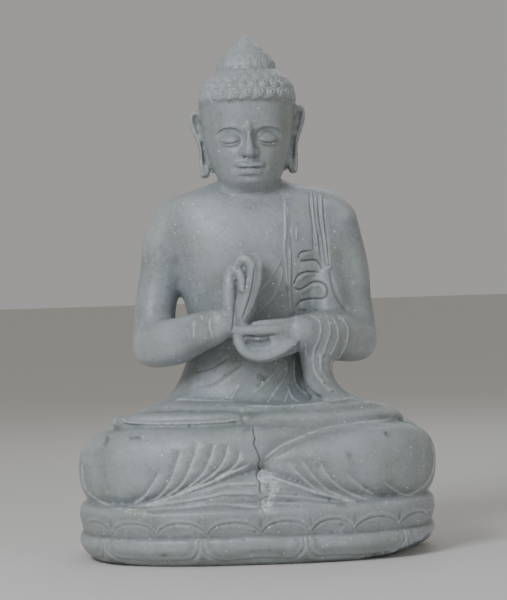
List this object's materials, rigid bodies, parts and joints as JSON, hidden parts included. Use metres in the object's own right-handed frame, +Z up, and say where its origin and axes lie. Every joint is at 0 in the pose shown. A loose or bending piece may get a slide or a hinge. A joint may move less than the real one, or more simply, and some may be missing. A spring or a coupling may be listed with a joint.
{
  "type": "stone buddha statue",
  "caption": "Seated stone buddha on an oblong lotus base, hands held before the chest in a teaching gesture; garden or altar figure.",
  "frame": {"origin": "centre of the overall box, on the surface that the base stands on", "axes": "+Z up; the figure faces -Y; its right hand is towards -X"},
  "size_m": [0.549, 0.4064, 0.7994],
  "materials": {
    "carved_stone": "rubbed smooth volcanic stone, grey-green with light and dark grains, matt with a faint sheen on raised places"
  },
  "bodies": {
    "root": {"buddha_statue": "carved_stone"}
  },
  "joints": []
}
